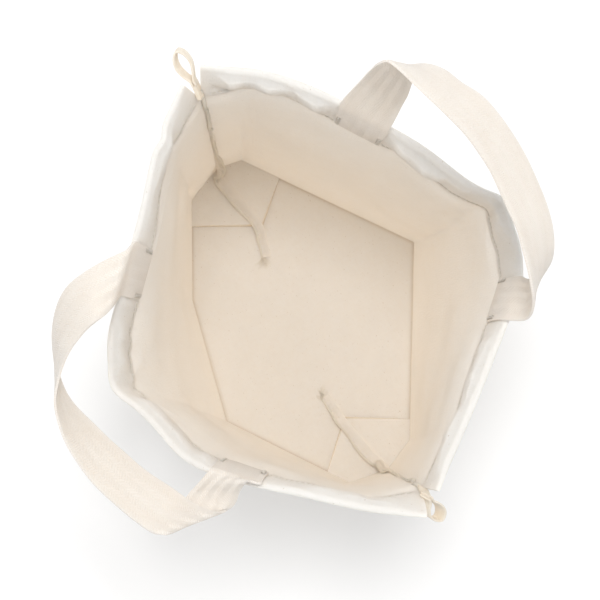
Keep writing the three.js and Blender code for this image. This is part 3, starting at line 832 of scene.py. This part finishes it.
def thread_material(name, pale, dark):
    """Twisted thread: slanted plies along its length."""
    nodes = Nodes(bpy.data.materials.new(name))
    u, v = nodes.cloth()
    ply = nodes.sine(nodes.add(v, u), THREAD_PLY)
    fuzz = nodes.noise(u, v, *THREAD_FUZZ)
    # Painted shade in the troughs between plies, with the thread's own uneven fuzz
    darkening = nodes.add(nodes.ramp(ply, 1.0, -1.0), nodes.ramp(fuzz, 0.35, 0.7))
    color = nodes.mix(nodes.times(darkening, 0.4), pale, dark)
    roughness = nodes.add(0.6, nodes.times(fuzz, 0.2))
    return nodes.finish(color, nodes.add(ply, fuzz), THREAD_BUMP, roughness, 0.15)


CANVAS_MATERIAL = woven_material(
    "natural_canvas", (0.975, 0.93, 0.865), (0.945, 0.88, 0.79), CANVAS_YARN, CANVAS_BUMP
)
TAPE_MATERIAL = woven_material(
    "cotton_tape", (0.88, 0.80, 0.69), (0.76, 0.63, 0.47), TAPE_YARN, TAPE_BUMP
)
WEBBING_MATERIAL = webbing_material("cotton_webbing", (0.79, 0.74, 0.68), (0.695, 0.62, 0.545))
THREAD_MATERIAL = thread_material("sewing_thread", (0.93, 0.88, 0.80), (0.82, 0.73, 0.60))
OVERLOCK_MATERIAL = thread_material("overlock_thread", (0.97, 0.93, 0.84), (0.93, 0.87, 0.74))


# Canvas


def wall_mesh(name, wall):
    """One sheet up the wall, round the rim, down inside as the hem and under at its edge."""
    columns = np.linspace(0, 1, int(wall.length / COLUMN_STEP))[None, :]
    rim_height = wall.rim.at(columns)[..., 2]
    radius = wall.rim_round(columns)
    depths, insets = [], []

    def add(depth, inset):
        depths.append(depth + 0 * columns)
        insets.append(inset + 0 * columns)

    for share in np.linspace(0, 1, int(RIM_HEIGHT / ROW_STEP)):
        add((rim_height - CANVAS) * (1 - share) + radius * share, CANVAS / 2)
    for angle in np.linspace(0, math.pi, 8)[1:]:
        add(radius * (1 - math.sin(angle)), CANVAS / 2 + radius * (1 - math.cos(angle)))
    for share in np.linspace(0, 1, int(HEM_DEPTH / HEM_ROW_STEP))[1:]:
        depth = radius + (HEM_DEPTH - radius) * share
        add(depth, wall.hem_inset(columns, depth))
    for past, inset in HEM_UNDER:
        add(HEM_DEPTH + past, inset)
    depth = np.concatenate(depths)
    s = np.broadcast_to(columns, depth.shape)
    middle = wall.below(s, depth, np.concatenate(insets) + wall.relief(s, depth))
    cloth = cloth_map(s * wall.length, run_lengths(middle))
    # Painted shade: at the wall's foot, under the hem's edge, along the stitch line and in the valley by
    # each side seam
    shade = (
        painted_shade(rim_height - depth, WALL_FOOT_SHADE)
        + painted_shade(depth - HEM_DEPTH - HEM_EDGE_SHADE_DROP, HEM_EDGE_SHADE)
        + painted_shade(depth - HEM_DEPTH + STITCH_FROM_HEM_EDGE, STITCH_LINE_SHADE)
        + painted_shade(wall.from_seam(s), SEAM_VALLEY_SHADE)
    )
    if wall.side < 0:
        middle, cloth, shade = middle[:, ::-1], cloth[:, ::-1], shade[:, ::-1]
    return sheet_mesh(name, middle, CANVAS, cloth, shade)


def floor_mesh(name):
    """The floor, soft and slightly raised inside its pressed edges."""
    front, back = FRONT_WALL.floor, BACK_WALL.floor
    shares = np.linspace(0, 1, int(front.length / COLUMN_STEP))
    across = np.linspace(0, 1, FLOOR_ROWS)[:, None, None]
    grid = front.at(shares) * (1 - across) + back.at(shares) * across
    outline = np.array(FRONT_EDGE + BACK_EDGE[-2:0:-1])
    edge = np.full(grid.shape[:2], np.inf)
    for a, b in zip(outline, np.roll(outline, -1, axis=0)):
        edge = np.minimum(edge, from_line(grid[..., :2], a, b)[1])
    soft = FLOOR_RIPPLE * waves(61, *FLOOR_WAVES)(grid[..., 0], grid[..., 1])
    grid[..., 2] = CANVAS / 2 + smoothstep(0, FLOOR_EASE, edge) * (FLOOR_RAISED + soft)
    # Painted shade along the floor's edges, in the corner where it meets the walls
    return sheet_mesh(name, grid, CANVAS, grid[..., :2], painted_shade(edge, FLOOR_EDGE_SHADE))


def along_edge(start, end, distance):
    start, end = np.array(start), np.array(end)
    return tuple(start + unit(end - start) * distance)


def tuck_mesh(name, end, seed):
    """The folded triangle at one end of the floor: top layer, rounded fold and the layer under it."""
    front, back = TUCK_SIDES[end]
    front_end, back_end = along_edge(*front), along_edge(*back)
    outer = Path([back_end, back[0], FOOT[end], front[0], front_end])
    fold = Path([back_end, TUCK_POINT[end], front_end])
    shares = np.linspace(0, 1, TUCK_COLUMNS)
    outer_line = outer.at(rescale(shares, fold.marks[1], outer.marks[2]))
    fold_line = fold.at(shares)
    ripple = waves(seed, *FLOOR_WAVES)
    ends = smoothstep(0, 0.25, np.minimum(shares, 1 - shares))
    lift = TUCK_LIFT * ends * (0.6 + 0.4 * ripple(shares * 0.1, 0 * shares))
    layers = [(share, 0, share**2) for share in np.linspace(0.01, 0.985, TUCK_TOP_ROWS)]
    layers += [(share, below, 1) for share, below in TUCK_ROUND]
    layers += [(share, TUCK_UNDER, share**2) for share in np.linspace(0.98, 0.75, TUCK_UNDER_ROWS)]
    rows = []
    for share, below, lifted in layers:
        flat = outer_line + (fold_line - outer_line) * share
        relief = TUCK_RIPPLE * ripple(flat[:, 0], flat[:, 1])
        rows.append(np.column_stack([flat, TUCK_HEIGHT - below + lifted * lift + relief]))
    grid = np.stack(rows)
    # Painted shade along the fold and on the layer under it, where the two layers meet
    fold_shade = [0.0] * (TUCK_TOP_ROWS - 1) + [0.35] + [0.6] * len(TUCK_ROUND) + [0.3] * TUCK_UNDER_ROWS
    return sheet_mesh(name, grid, CANVAS, grid[..., :2], np.array(fold_shade)[:, None])


def seam_line(place, height):
    """The middle between the two walls' ends at a side seam."""
    at = [np.array([value]) for value in (place, RIM_HEIGHT + FRONT_RIM[0][2] - height, 0.0)]
    return (FRONT_WALL.below(*at)[0] + BACK_WALL.below(*at)[0]) / 2


def seam_course(end):
    """The seam's root line from the mouth to its tail, and the way its allowance lies at each point."""
    inwards, place = (1, 0.0) if end == "left" else (-1, 1.0)
    foot, point, tail = (np.array(ends[end]) for ends in (FOOT, TUCK_POINT, TAIL_END))
    roots, ways = [], []
    for height in np.linspace(RIM_HEIGHT - SEAM_TOP_DROP, SEAM_LOWEST, 12):
        roots.append(seam_line(place, height) + (inwards * SEAM_OFF_WALL, 0, 0))
        ways.append((0.6 * inwards, 0.8 * inwards, 0.1))
    # From here on the allowance lies towards the front wall
    roots.append((foot[0] + inwards * SEAM_TURN[0], 0, SEAM_TURN[1]))
    ways.append((0.6 * inwards, -1, 0.6))
    for share in (0.3, 0.65, 1.0):
        height = TUCK_HEIGHT + SEAM_OVER_TUCK + TUCK_LIFT * share**2
        roots.append((*(foot + (point - foot) * share), height))
        ways.append((0.1 * inwards, -1, 0.3))
    for share, height in TAIL_HEIGHTS:
        roots.append((*(point + (tail - point) * share), height))
        ways.append((0.5 * inwards, -1, 0.25))
    course = Path(smooth_points(roots))
    places = course.marks[:: (len(course.marks) - 1) // (len(roots) - 1)]
    return course, places, np.array(ways, float)


def seam_mesh(name, end, seed):
    """The allowance: two layers of cloth that curl and wave along their cut edge."""
    course, places, ways = seam_course(end)
    shares = np.linspace(0, 1, int(course.length / COLUMN_STEP))
    run = shares * course.length
    root = course.at(shares)
    way = unit(read_between(places, ways, shares))
    along = unit(np.gradient(root, axis=0))
    way = unit(way - along * np.sum(way * along, axis=1, keepdims=True))
    side = np.cross(along, way)
    curl = waves(seed, *CURL_WAVES)(run, 0 * run)
    flare = waves(seed + 1, *FLARE_WAVES)(run, 0 * run)
    # The allowance lies closed on the wall and opens on the floor
    loose = smoothstep(0.55, 0.75, shares)
    width = SEAM_ALLOWANCE * (1 - TAIL_NARROWING * smoothstep(0.8, 1.0, shares)) * (1 + 0.08 * flare)
    width = width * (SEAM_CLOSED_WIDTH + (1 - SEAM_CLOSED_WIDTH) * smoothstep(0.6, 0.78, shares))
    sway = (0.7 - 0.48 * loose) * curl
    opening = loose * (0.05 + 0.06 * np.abs(flare))
    apart = 0.0002 + 0.0004 * loose
    across = np.linspace(0, 1, SEAM_ROWS)
    rows = []
    for layer, shares_across in ((-1, across[::-1]), (1, across)):
        for share in shares_across:
            bend = (sway + layer * opening) * share
            reach = way * np.cos(bend)[:, None] + side * np.sin(bend)[:, None]
            rows.append(root + reach * (width * share)[:, None] + side * (layer * apart)[:, None])
    grid = np.stack(rows)
    cloth = cloth_map(run[None], np.concatenate([across[::-1], across])[:, None] * SEAM_ALLOWANCE)
    return sheet_mesh(name, grid, SEAM_CLOTH, cloth), grid, side


def overlock_mesh(name, grid, side, seed):
    """Loops of thread over the allowance's cut edges, and a frayed tuft at the tail."""
    draw = np.random.default_rng(seed)
    one_edge, other_edge = grid[0], grid[-1]
    one_root, other_root = grid[OVERLOCK_DEPTH], grid[-1 - OVERLOCK_DEPTH]
    middle = (one_edge + other_edge) / 2
    over = middle + (middle - (one_root + other_root) / 2) * OVERLOCK_BULGE
    threads = []
    for i in range(0, grid.shape[1] - 1, 2):
        off = side[i] * OVERLOCK_OFF_CLOTH
        up = [one_root[i] - off, one_edge[i] - off]
        down = [other_edge[i + 1] + off, other_root[i + 1] + off]
        threads.append((smooth_points([*up, over[i], *down], 3), side[i] + OVERLOCK_NUDGE))
    onward = unit(middle[-1] - middle[-8])
    for _ in range(FRAY_THREADS):
        reach = draw.uniform(*FRAY_REACH)
        turn = draw.uniform(-FRAY_TURN, FRAY_TURN)
        cos, sin = math.cos(turn), math.sin(turn)
        way = np.array([onward[0] * cos - onward[1] * sin, onward[0] * sin + onward[1] * cos, 0])
        sideways = np.array([-way[1], way[0], 0]) * draw.uniform(-FRAY_BEND, FRAY_BEND)
        start = middle[-1] + draw.uniform(-FRAY_SPREAD, FRAY_SPREAD, 3)
        line = np.array([start + (way + sideways * bent) * reach * share for share, bent in FRAY_STEPS])
        line[1:, 2] = [*FRAY_HEIGHTS, draw.uniform(*FRAY_END_HEIGHT)]
        threads.append((smooth_points(line, 4), (0, 0, 1)))
    return thread_mesh(name, threads, OVERLOCK_THREAD, 5)


# Handles


def handle_frame(wall):
    """The rim at the middles of a handle's sewn ends, the level way between them and the way out."""
    ends = wall.rim.at(np.array(wall.straps))
    along = unit((ends[1] - ends[0]) * (1, 1, 0))
    out = wall.side * np.array([along[1], -along[0], 0])
    return ends, along, out


def sewn_rows(wall, place, across):
    """Rows across the webbing where it lies on the hem, from its end up to just above the rim."""
    depths = np.linspace(HEM_DEPTH - TAB_END_FROM_HEM_EDGE, -TAB_RISE, TAB_ROWS)[:, None]
    s, depth = np.broadcast_arrays(place + across * WEBBING_WIDTH / wall.length, depths)
    on_hem = wall.hem_inset(s, np.maximum(depth, 0)) + (CANVAS + WEBBING_THICKNESS) / 2
    return wall.below(s, depth, on_hem + wall.relief(s, np.maximum(depth, 0)))


def handle_grid(wall, run):
    """Rows of points across the webbing, from one sewn end over the arch to the other."""
    ends, along, out = handle_frame(wall)
    up = np.array([0, 0, 1.0])
    edges = np.array([-0.5, 0.5])
    rows = []
    for share, out_by, up_by, way_along, way_out, way_up in run:
        centre = ends[0] + (ends[1] - ends[0]) * share + out * out_by + up * up_by
        way = unit(along * way_along + out * way_out + up * way_up)
        rows.append(centre - way * edges[:, None] * WEBBING_WIDTH)
    first = sewn_rows(wall, wall.straps[0], edges)
    last = sewn_rows(wall, wall.straps[1], -edges)[::-1]
    rows = np.concatenate([first, rows, last])
    rows = smooth_points(rows.reshape(len(rows), 6), 24).reshape(-1, 2, 3)
    middle = Path(rows.mean(axis=1))
    even = np.linspace(0, 1, int(middle.length / COLUMN_STEP))
    flat = read_between(middle.marks, rows.reshape(-1, 6), even)
    one_edge, other_edge = flat[:, None, :3], flat[:, None, 3:]
    across = np.linspace(0, 1, WEBBING_COLUMNS)[None, :, None]
    return one_edge + (other_edge - one_edge) * across


def handle_mesh(name, wall, run, seed):
    """The webbing's mesh, its rows of middle points for what is sewn on it and the length up to each."""
    grid = handle_grid(wall, run)
    across = np.linspace(-0.5, 0.5, grid.shape[1])
    length = run_lengths(grid.mean(axis=1))
    ripple = WEBBING_RIPPLE * waves(seed, *WEBBING_WAVES)(length[:, None], across[None] * WEBBING_WIDTH)
    grid = grid + grid_normals(grid) * ripple[..., None]
    thickness = tape_thickness(WEBBING_THICKNESS, across, 14, 0.45)
    cloth = cloth_map((across + 0.5)[None] * WEBBING_WIDTH, length[:, None])
    return sheet_mesh(name, grid, thickness[None], cloth), grid, length


# Stitches


def stitch_mesh(name, wall):
    """The row of stitches along the hem, inside and out; a strap hides the inner ones under it."""
    depth = np.full(STITCH_POINTS, HEM_DEPTH - STITCH_FROM_HEM_EDGE)
    arch = STITCH_RISE * np.sin(np.linspace(0, math.pi, STITCH_POINTS))
    covered = WEBBING_WIDTH / 2 + 0.001
    threads = []
    for start in np.arange(STITCH_FROM_SEAM, wall.length - STITCH_FROM_SEAM, STITCH_LENGTH + STITCH_GAP):
        s = (start + np.linspace(0, STITCH_LENGTH, STITCH_POINTS)) / wall.length
        relief = wall.relief(s, depth)
        hem = wall.hem_inset(s, depth) + CANVAS / 2
        middle = start + STITCH_LENGTH / 2
        hidden = any(abs(middle - place * wall.length) < covered for place in wall.straps)
        for inset in [-arch] if hidden else [-arch, hem + arch]:
            threads.append((wall.below(s, depth, inset + relief), NEARLY_UP))
    return thread_mesh(name, threads, STITCH_RADIUS)


def bartack_mesh(name, grid, length, at_start, at_first_column):
    """A bar of close zigzag stitches along the webbing's edge near its sewn end."""
    last_row, last_column = len(grid) - 1, grid.shape[1] - 1
    phase = np.linspace(0, BARTACK_CROSSINGS, BARTACK_CROSSINGS * 4)
    swing = 2 * np.abs(2 * (phase / 2 - np.floor(phase / 2 + 0.5))) - 1
    from_end = BARTACK_FROM_TAB_END + BARTACK_LENGTH * phase / BARTACK_CROSSINGS
    row = np.interp(from_end if at_start else length[-1] - from_end, length, np.arange(len(length)))
    from_edge = BARTACK_FROM_EDGE + swing * BARTACK_WIDTH / 2
    column = np.clip(from_edge / WEBBING_WIDTH, 0, 1) * last_column
    column = column if at_first_column else last_column - column
    r, c = np.minimum(row.astype(int), last_row - 1), np.minimum(column.astype(int), last_column - 1)
    y, x = (row - r)[:, None], (column - c)[:, None]

    def read(block):
        near = block[r, c] * (1 - x) + block[r, c + 1] * x
        far = block[r + 1, c] * (1 - x) + block[r + 1, c + 1] * x
        return near * (1 - y) + far * y

    place, facing = read(grid), read(grid_normals(grid))
    inside = np.sign(np.sum(facing * -place * (1, 1, 0), axis=1, keepdims=True))
    crown = BARTACK_CROWN * (1 - np.abs(swing) ** 3)[:, None]
    line = place + inside * facing * (WEBBING_THICKNESS / 2 + BARTACK_OFF_WEBBING + crown)
    return thread_mesh(name, [(line, BARTACK_FACING)], BARTACK_THREAD, 5)


# Loops


def loop_mesh(name, end):
    """A teardrop of narrow tape, its width upright, and the middle between its two ends."""
    legs = LOOP_TAPE_THICKNESS * 0.65
    half = [(0, legs), (LOOP_LENGTH * LOOP_LEGS, legs)]
    half += [(LOOP_LENGTH * along, LOOP_HALF_WIDTH * out) for along, out in LOOP_SHAPE]
    other = [(x, -y) for x, y in reversed(half)]
    course = Path(smooth_points([(x, y, 0) for x, y in half + [(LOOP_LENGTH, 0)] + other]))
    shares = np.linspace(0, 1, LOOP_STEPS)
    across = np.linspace(-0.5, 0.5, LOOP_COLUMNS)
    width = across[None] * LOOP_TAPE_WIDTH
    grid = np.repeat(course.at(shares)[:, None], LOOP_COLUMNS, axis=1)
    grid[..., 2] += width
    grid[..., 1] += width * (LOOP_ROLL + LOOP_TWIST * np.sin(shares * 2 * math.pi))[:, None]
    tilt = Matrix.Rotation(-math.radians(LOOP_TILT[end]), 3, "Y")
    turn = Matrix.Rotation(LOOP_TURN[end], 3, "Z") @ tilt
    grid = grid @ np.array(turn).T + LOOP_ROOT[end]
    thickness = tape_thickness(LOOP_TAPE_THICKNESS, across, 8, 0.05)
    cloth = cloth_map(width, (shares * course.length)[:, None])
    return sheet_mesh(name, grid, thickness[None], cloth), (grid[0] + grid[-1]) / 2


def loop_root_mesh(name, end, root):
    """The tape's two ends, caught between the corners of the hems where they meet at the side seam."""
    shares = np.linspace(0, 1, 9)
    shift = np.array([*(SEAM_TOP[end] - root.mean(axis=0)[:2]), -LOOP_ROOT_FALL])
    grid = root[None] + shift * shares[:, None, None]
    across = np.linspace(-0.5, 0.5, LOOP_COLUMNS) * LOOP_TAPE_WIDTH
    cloth = cloth_map(across[None], (shares * np.linalg.norm(shift))[:, None])
    return sheet_mesh(name, grid, LOOP_ROOT_THICKNESS, cloth)


# Putting the bag together


def build_sides():
    sides = (
        ("front", FRONT_WALL, FRONT_HANDLE_RUN, FRONT_BEND_WAY, FRONT_BEND_SPAN),
        ("back", BACK_WALL, BACK_HANDLE_RUN, BACK_BEND_WAY, BACK_BEND_SPAN),
    )
    for index, (side, wall, run, bend_way, bend_span) in enumerate(sides):
        mesh = wall_mesh(f"canvas_{side}", wall)
        canvas = piece(mesh, CANVAS_MATERIAL, (f"{side}_panel", f"{side}_hem"))
        mesh = stitch_mesh(f"hem_stitches_{side}", wall)
        stitches = piece(mesh, THREAD_MATERIAL, (f"{side}_hem_stitch",))
        nodes = (f"{side}_handle", f"{side}_handle_tab_left", f"{side}_handle_tab_right")
        mesh, rows, length = handle_mesh(f"webbing_{side}", wall, run, 71 + index)
        webbing = piece(mesh, WEBBING_MATERIAL, nodes, None)
        ends, _, out = handle_frame(wall)
        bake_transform(webbing)
        for end_name in ("left", "right"):
            for edge_name in ("outer", "inner"):
                name = f"bar_{side}_{end_name}_{edge_name}"
                mesh = bartack_mesh(name, rows, length, end_name == "left", edge_name == "outer")
                piece(mesh, THREAD_MATERIAL, (f"{side}_bartack_{end_name}_{edge_name}",))


def build_floor():
    floor = piece(floor_mesh("canvas_floor"), CANVAS_MATERIAL, ("base_panel",))
    for end in ("left", "right"):
        mesh = tuck_mesh(f"canvas_tuck_{end}", end, 81)
        piece(mesh, CANVAS_MATERIAL, (f"{end}_corner_tuck",))


def build_seams():
    for end, seed in (("left", 91), ("right", 96)):
        mesh, grid, side = seam_mesh(f"seam_{end}", end, seed)
        piece(mesh, CANVAS_MATERIAL, (f"{end}_side_seam",))
        mesh = overlock_mesh(f"overlock_{end}", grid, side, seed + 50)
        piece(mesh, OVERLOCK_MATERIAL)
        edge = [((grid[0] + grid[-1]) / 2, NEARLY_UP)]
        mesh = thread_mesh(f"overlock_edge_{end}", edge, OVERLOCK_RADIUS, 8)
        piece(mesh, OVERLOCK_MATERIAL)
        mesh, root = loop_mesh(f"tape_loop_{end}", end)
        piece(mesh, TAPE_MATERIAL, (f"{end}_hang_loop",), f"{end}_loop")
        mesh = loop_root_mesh(f"tape_root_{end}", end, root)
        piece(mesh, TAPE_MATERIAL)


# Camera, light and ground


def add_camera():
    data = bpy.data.cameras.new("camera")
    data.lens = CAMERA_LENS
    data.sensor_width = CAMERA_SENSOR
    camera = add_object(data)
    right = Vector(CAMERA_RIGHT).normalized()
    forward = Vector(CAMERA_FORWARD).normalized()
    up = right.cross(forward).normalized()
    right = forward.cross(up).normalized()
    turn = Matrix((right, up, -forward)).transposed().to_4x4()
    camera.matrix_world = Matrix.Translation(CAMERA_PLACE) @ turn
    bpy.context.scene.camera = camera


def add_key_lamp():
    data = bpy.data.lights.new("key", "AREA")
    data.shape = "DISK"
    data.size = KEY_SIZE
    data.energy = KEY_POWER
    lamp = add_object(data)
    lamp.location = KEY_PLACE
    lamp.rotation_euler = (Vector(KEY_TARGET) - Vector(KEY_PLACE)).to_track_quat("-Z", "Y").to_euler()


def add_world():
    """Even studio light from all round, and white where the camera sees past the floor."""
    world = bpy.data.worlds.new("studio")
    bpy.context.scene.world = world
    nodes = Nodes(world)
    light = nodes.node("Background", {"Color": (1, 1, 1, 1), "Strength": WORLD_STRENGTH})[0]
    white = nodes.node("Background", {"Color": (1, 1, 1, 1)})[0]
    path = nodes.node("LightPath", {})
    seen = path["Is Camera Ray"]
    for ray in ("Is Glossy Ray", "Is Transmission Ray"):
        seen = nodes.math("MAXIMUM", seen, path[ray])
    mix = nodes.node("MixShader", {0: seen, 1: light, 2: white})[0]
    nodes.set_node("World Output", {"Surface": mix})


def add_ground():
    mesh = bpy.data.meshes.new("ground")
    corners = [(GROUND_REACH * x, GROUND_REACH * y, 0) for x, y in ((-1, -1), (1, -1), (1, 1), (-1, 1))]
    mesh.from_pydata(corners, [], [(0, 1, 2, 3)])
    ground = add_object(mesh)
    ground.location.z = -GROUND_DROP
    nodes = Nodes(bpy.data.materials.new("ground"))
    matt = {"Base Color": GROUND_COLOR, "Roughness": 1.0, "Specular IOR Level": 0.0}
    nodes.set_node("Principled BSDF", matt)
    mesh.materials.append(nodes.owner)


add_camera()
add_ground()
build_floor()
build_sides()
build_seams()
add_world()
add_key_lamp()

scene = bpy.context.scene
scene.view_settings.view_transform = "Standard"
scene.cycles.diffuse_bounces = 12
